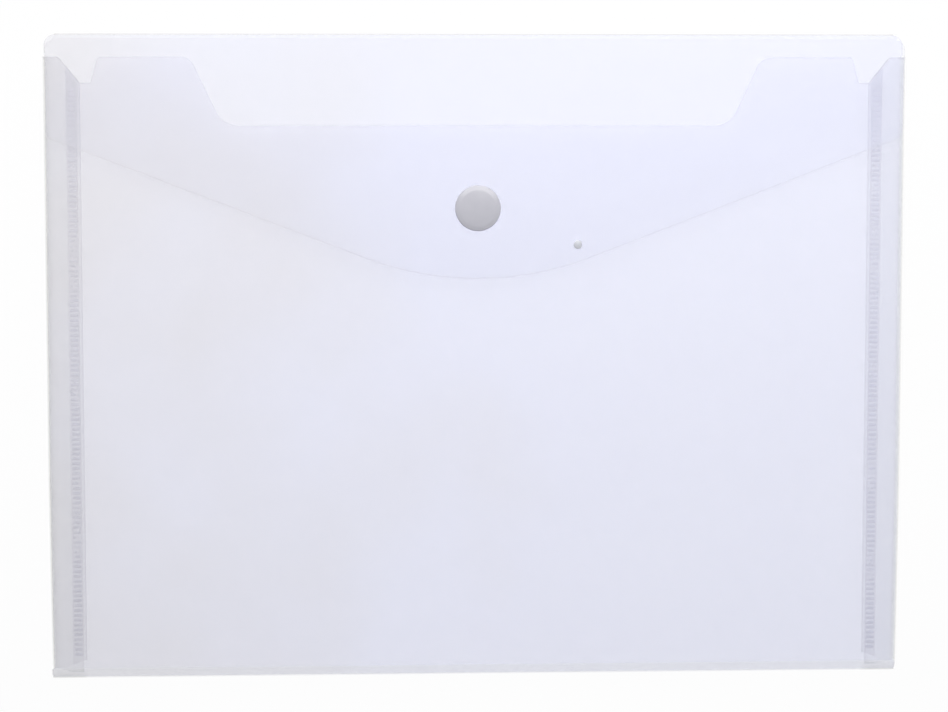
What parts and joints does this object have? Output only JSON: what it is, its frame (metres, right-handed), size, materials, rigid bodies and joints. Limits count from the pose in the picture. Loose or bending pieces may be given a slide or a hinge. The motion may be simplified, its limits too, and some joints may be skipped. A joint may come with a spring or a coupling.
{
  "type": "document wallet",
  "caption": "Flat landscape document wallet of translucent plastic sheet, with a pointed flap, a press stud, a thumb cut-out and welded pleated sides.",
  "frame": {"origin": "centre of the closed wallet, on the surface that its back lies on", "axes": "+X across the wallet, +Y up to the fold of the flap, +Z out of the front"},
  "size_m": [0.33, 0.248, 0.0105],
  "materials": {
    "sheet": "translucent polypropylene sheet with a slight blue tint and a soft sheen",
    "weld": "ribbed ultrasonic weld in the same polypropylene",
    "stud": "satin grey moulded plastic"
  },
  "bodies": {
    "pocket": {"back_panel": "sheet", "bottom_spine": "sheet", "left_back_tab": "sheet", "right_back_tab": "sheet", "left_weld": "weld", "right_weld": "weld"},
    "front": {"front_panel": "sheet", "left_front_tab": "sheet", "right_front_tab": "sheet", "snap_stud": "stud", "snap_rivet": "stud"},
    "spine": {"top_spine": "sheet"},
    "flap": {"flap": "sheet", "snap_cap": "stud", "snap_socket": "stud", "flap_pip": "stud"}
  },
  "joints": [
    {"name": "top_crease", "type": "hinge", "parent": "pocket", "child": "spine", "pos_m": [0, 0.12385, 0.00015], "axis": [-1, 0, 0], "range_deg": [0, 105]},
    {"name": "flap_crease", "type": "hinge", "parent": "spine", "child": "flap", "pos_m": [0, 0.12155, 0.00845], "axis": [-1, 0, 0], "range_deg": [0, 75]},
    {"name": "mouth_crease", "type": "hinge", "parent": "pocket", "child": "front", "pos_m": [0, -0.11955, 0.00545], "axis": [1, 0, 0], "range_deg": [0, 3.5], "deforming": ["left_front_tab", "right_front_tab", "left_weld", "right_weld"]}
  ],
  "couplings": [
    {"joint": "mouth_crease", "follows": "top_crease", "ratio": 0.0333}
  ]
}
